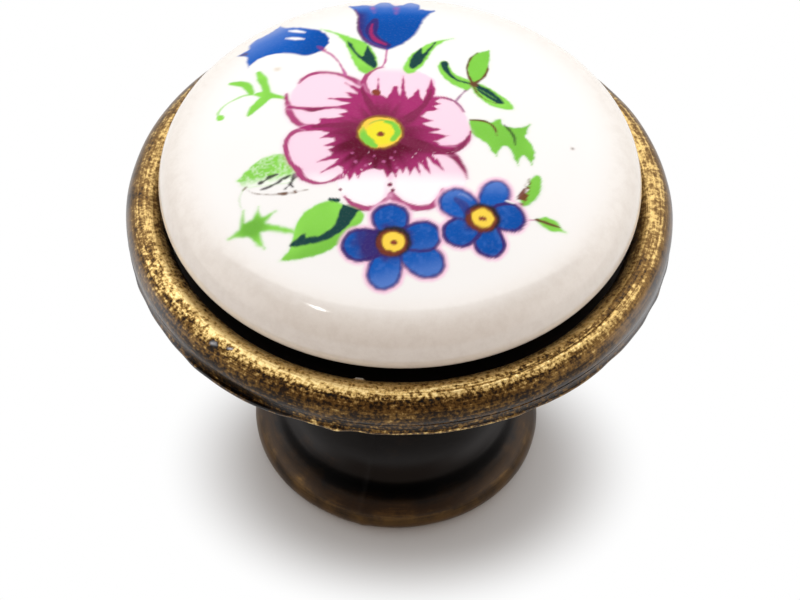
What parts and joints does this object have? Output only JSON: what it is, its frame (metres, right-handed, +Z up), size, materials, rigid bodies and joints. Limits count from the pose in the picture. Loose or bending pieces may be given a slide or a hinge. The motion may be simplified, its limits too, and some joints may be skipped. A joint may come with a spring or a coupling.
{
  "type": "cabinet knob",
  "caption": "Round cabinet knob: a domed white porcelain cap with a printed flower spray, glued into the beaded rim of a flared antique-brass base with a tapped hole in its foot.",
  "frame": {"origin": "middle of the foot's mounting face", "axes": "+Z runs up the knob's axis from the mounting face to the crown of the cap, and -Y is the side that the picture looks from"},
  "size_m": [0.035, 0.035, 0.0295],
  "materials": {
    "antique_brass": "cast zinc alloy with a brown antique-brass patina, rubbed back to gold on the bead",
    "glazed_porcelain": "glossy warm white glaze over a printed flower spray"
  },
  "bodies": {
    "root": {"cast_base": "antique_brass", "porcelain_cap": "glazed_porcelain"}
  },
  "joints": []
}
